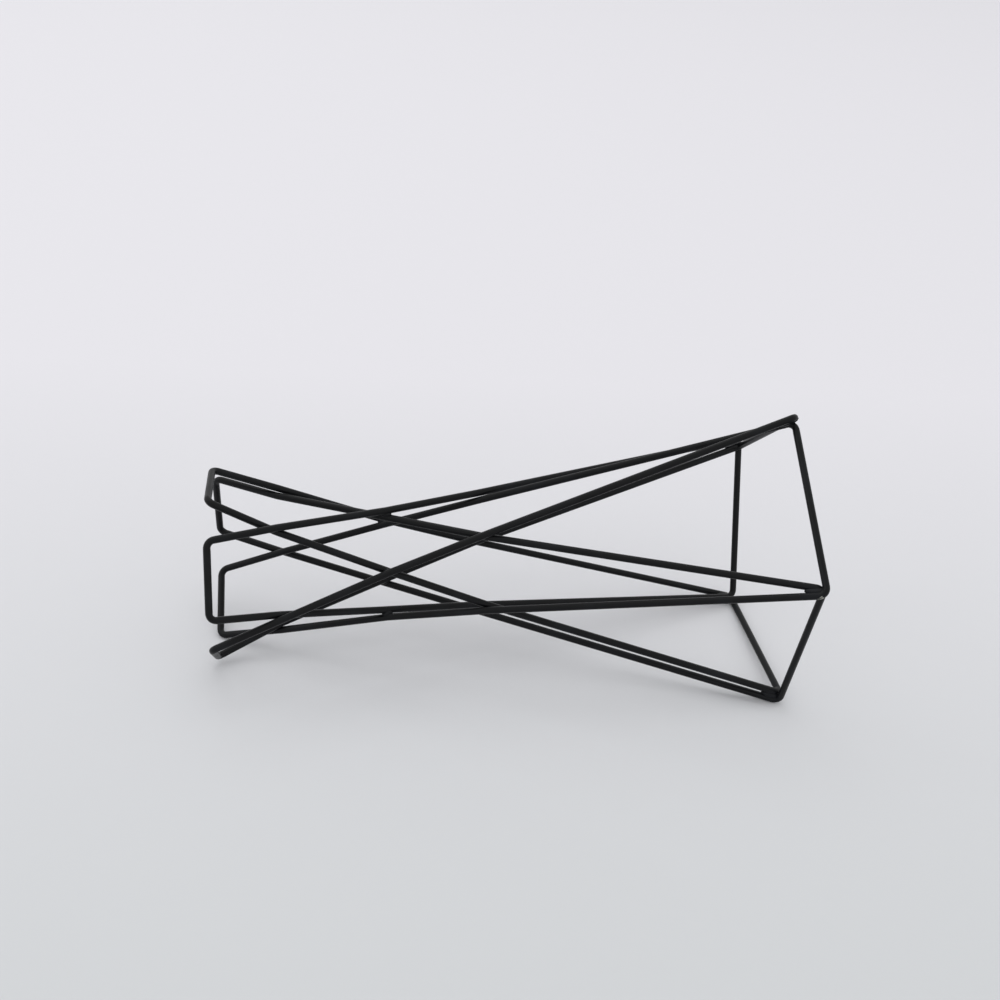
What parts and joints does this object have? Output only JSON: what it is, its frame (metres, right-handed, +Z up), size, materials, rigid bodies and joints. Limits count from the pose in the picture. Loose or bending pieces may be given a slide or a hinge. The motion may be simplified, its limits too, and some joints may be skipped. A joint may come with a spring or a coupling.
{
  "type": "air plant holder",
  "caption": "Open geometric cage of bent black wire that lies on its side and holds an air plant in its narrow waist, flaring to a pentagon at one end.",
  "frame": {"origin": "on the floor, under the middle of the box round the holder as it lies on its side", "axes": "+X along the holder's length to the wide pentagon end, -X to the narrow ring end, +Y to the rear as seen in the picture, +Z up"},
  "size_m": [0.2324, 0.1192, 0.1135],
  "materials": {
    "powder_coated_wire": "satin black powder coat on round steel wire",
    "powder_coated_weld": "satin black powder coat, slightly rougher over the weld beads"
  },
  "bodies": {
    "root": {"front_upper_loop": "powder_coated_wire", "front_lower_loop": "powder_coated_wire", "bottom_loop": "powder_coated_wire", "rear_lower_loop": "powder_coated_wire", "rear_upper_loop": "powder_coated_wire", "waist_welds": "powder_coated_weld", "corner_welds": "powder_coated_weld"}
  },
  "joints": []
}
